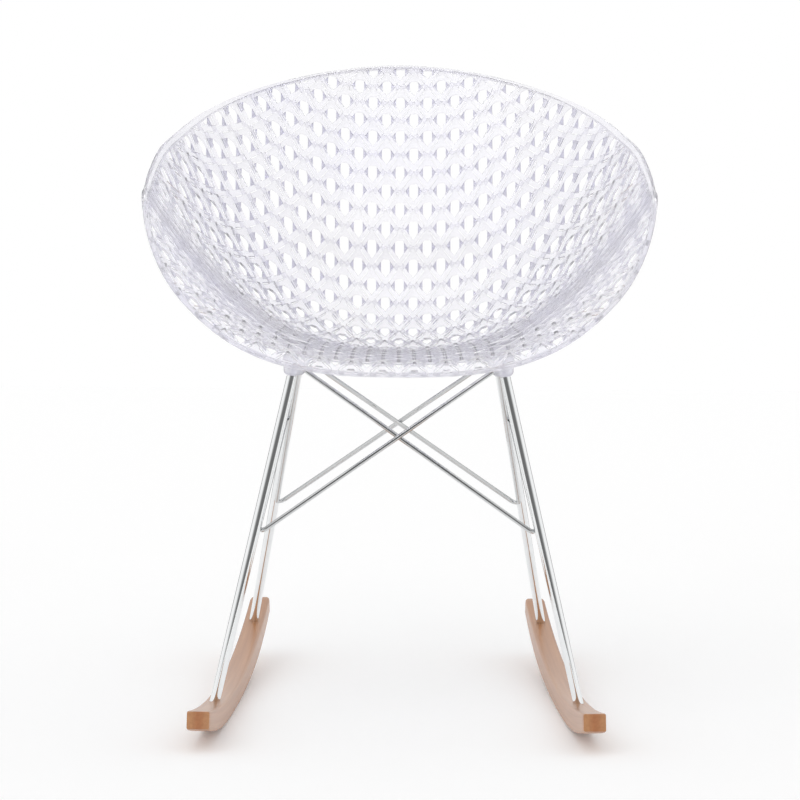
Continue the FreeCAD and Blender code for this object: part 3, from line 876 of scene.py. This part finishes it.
def seen_rays(tree):
    """1 for rays from the camera, from a reflection or through a clear piece, else 0."""
    rays = tree.nodes.new("ShaderNodeLightPath")
    either = tree.nodes.new("ShaderNodeMath")
    either.operation = "MAXIMUM"
    any_of = tree.nodes.new("ShaderNodeMath")
    any_of.operation = "MAXIMUM"
    tree.links.new(rays.outputs["Is Camera Ray"], either.inputs[0])
    tree.links.new(rays.outputs["Is Glossy Ray"], either.inputs[1])
    tree.links.new(either.outputs[0], any_of.inputs[0])
    tree.links.new(rays.outputs["Is Transmission Ray"], any_of.inputs[1])
    return any_of.outputs[0]


def sheet(name, corners, look):
    mesh = bpy.data.meshes.new(name)
    mesh.from_pydata(corners, [], [(0, 1, 2, 3)])
    mesh.materials.append(look)
    item = bpy.data.objects.new(name, mesh)
    bpy.context.scene.collection.objects.link(item)
    return item


def build_floor():
    """Pale floor that keeps the shadow and is white where none falls."""
    material, tree, shader = node_material("floor_look")
    shader.inputs["Base Color"].default_value = (0.93, 0.93, 0.93, 1)
    shader.inputs["Roughness"].default_value = 0.9
    shader.inputs["Specular IOR Level"].default_value = 0.1
    shader.inputs["Emission Color"].default_value = WHITE
    glow = tree.nodes.new("ShaderNodeMath")
    glow.operation = "MULTIPLY"
    glow.inputs[1].default_value = FLOOR_GLOW
    tree.links.new(seen_rays(tree), glow.inputs[0])
    tree.links.new(glow.outputs[0], shader.inputs["Emission Strength"])
    half = FLOOR_HALF
    floor = sheet("floor", [(-half, -half, 0), (half, -half, 0), (half, half, 0), (-half, half, 0)],
                  material)


def dark_look(name):
    """Black surface that glows white at the strength that is set on it."""
    material, tree, shader = node_material(name)
    shader.inputs["Base Color"].default_value = BLACK
    shader.inputs["Specular IOR Level"].default_value = 0.0
    shader.inputs["Emission Color"].default_value = WHITE
    return material, tree, shader


def build_cards():
    """Cards that only reflections show: a dark middle in front and two grey ones behind."""
    front_look, tree, shader = dark_look("card_look")
    shader.inputs["Roughness"].default_value = 1.0
    coords = tree.nodes.new("ShaderNodeTexCoord")
    split = tree.nodes.new("ShaderNodeSeparateXYZ")
    off_centre = tree.nodes.new("ShaderNodeMath")
    off_centre.operation = "ABSOLUTE"
    fade = tree.nodes.new("ShaderNodeMapRange")
    fade.interpolation_type = "SMOOTHSTEP"
    fade.inputs["From Min"].default_value = 0.22
    fade.inputs["From Max"].default_value = 0.95
    fade.inputs["To Min"].default_value = 0.17
    fade.inputs["To Max"].default_value = 1.0
    tree.links.new(coords.outputs["Object"], split.inputs["Vector"])
    tree.links.new(split.outputs["X"], off_centre.inputs[0])
    tree.links.new(off_centre.outputs[0], fade.inputs["Value"])
    tree.links.new(fade.outputs["Result"], shader.inputs["Emission Strength"])
    side_look, _tree, shader = dark_look("side_card_look")
    shader.inputs["Emission Strength"].default_value = SIDE_CARD_GLOW
    for left, right, depth, height, look in (
            (-0.95, 0.95, -0.75, 0.9, front_look),
            (-2.2, -0.55, 1.3, 1.8, side_look),
            (0.55, 2.2, 1.3, 1.8, side_look)):
        card = sheet("card", [(left, depth, 0.0), (right, depth, 0.0),
                              (right, depth, height), (left, depth, height)], look)
        card.visible_camera = False
        card.visible_diffuse = False
        card.visible_shadow = False
        card.visible_transmission = False


def build_light():
    """White background for seen rays, an even sky for the light, and a wide soft sun."""
    world = bpy.data.worlds.new("light")
    bpy.context.scene.world = world
    world.use_nodes = True
    tree = world.node_tree
    tree.nodes.clear()
    output = tree.nodes.new("ShaderNodeOutputWorld")
    mix = tree.nodes.new("ShaderNodeMixShader")
    tree.links.new(seen_rays(tree), mix.inputs[0])
    for strength, socket in ((SKY_GIVEN, mix.inputs[1]), (SKY_SEEN, mix.inputs[2])):
        background = tree.nodes.new("ShaderNodeBackground")
        background.inputs["Color"].default_value = WHITE
        background.inputs["Strength"].default_value = strength
        tree.links.new(background.outputs[0], socket)
    tree.links.new(mix.outputs[0], output.inputs[0])

    sun_data = bpy.data.lights.new("sun", "SUN")
    sun_data.energy = SUN_STRENGTH
    sun_data.angle = math.radians(SUN_SPREAD)
    sun = bpy.data.objects.new("sun", sun_data)
    sun.rotation_euler = [math.radians(turn) for turn in SUN_TURN]
    bpy.context.scene.collection.objects.link(sun)


def build_camera():
    data = bpy.data.cameras.new("camera")
    data.sensor_width = SENSOR_WIDTH
    data.lens = FOCAL_PIXELS / PHOTO_PIXELS * SENSOR_WIDTH
    camera = bpy.data.objects.new("camera", data)
    camera.matrix_world = (
        Matrix.Translation(CAMERA_PLACE)
        @ Matrix.Rotation(math.radians(90.0 - CAMERA_DOWN), 4, "X")
        @ Matrix.Rotation(math.radians(CAMERA_ROLL), 4, "Z")
    )
    bpy.context.scene.collection.objects.link(camera)
    bpy.context.scene.camera = camera


build_floor()
build_cards()
build_light()
build_camera()
bpy.context.scene.view_settings.view_transform = "Standard"
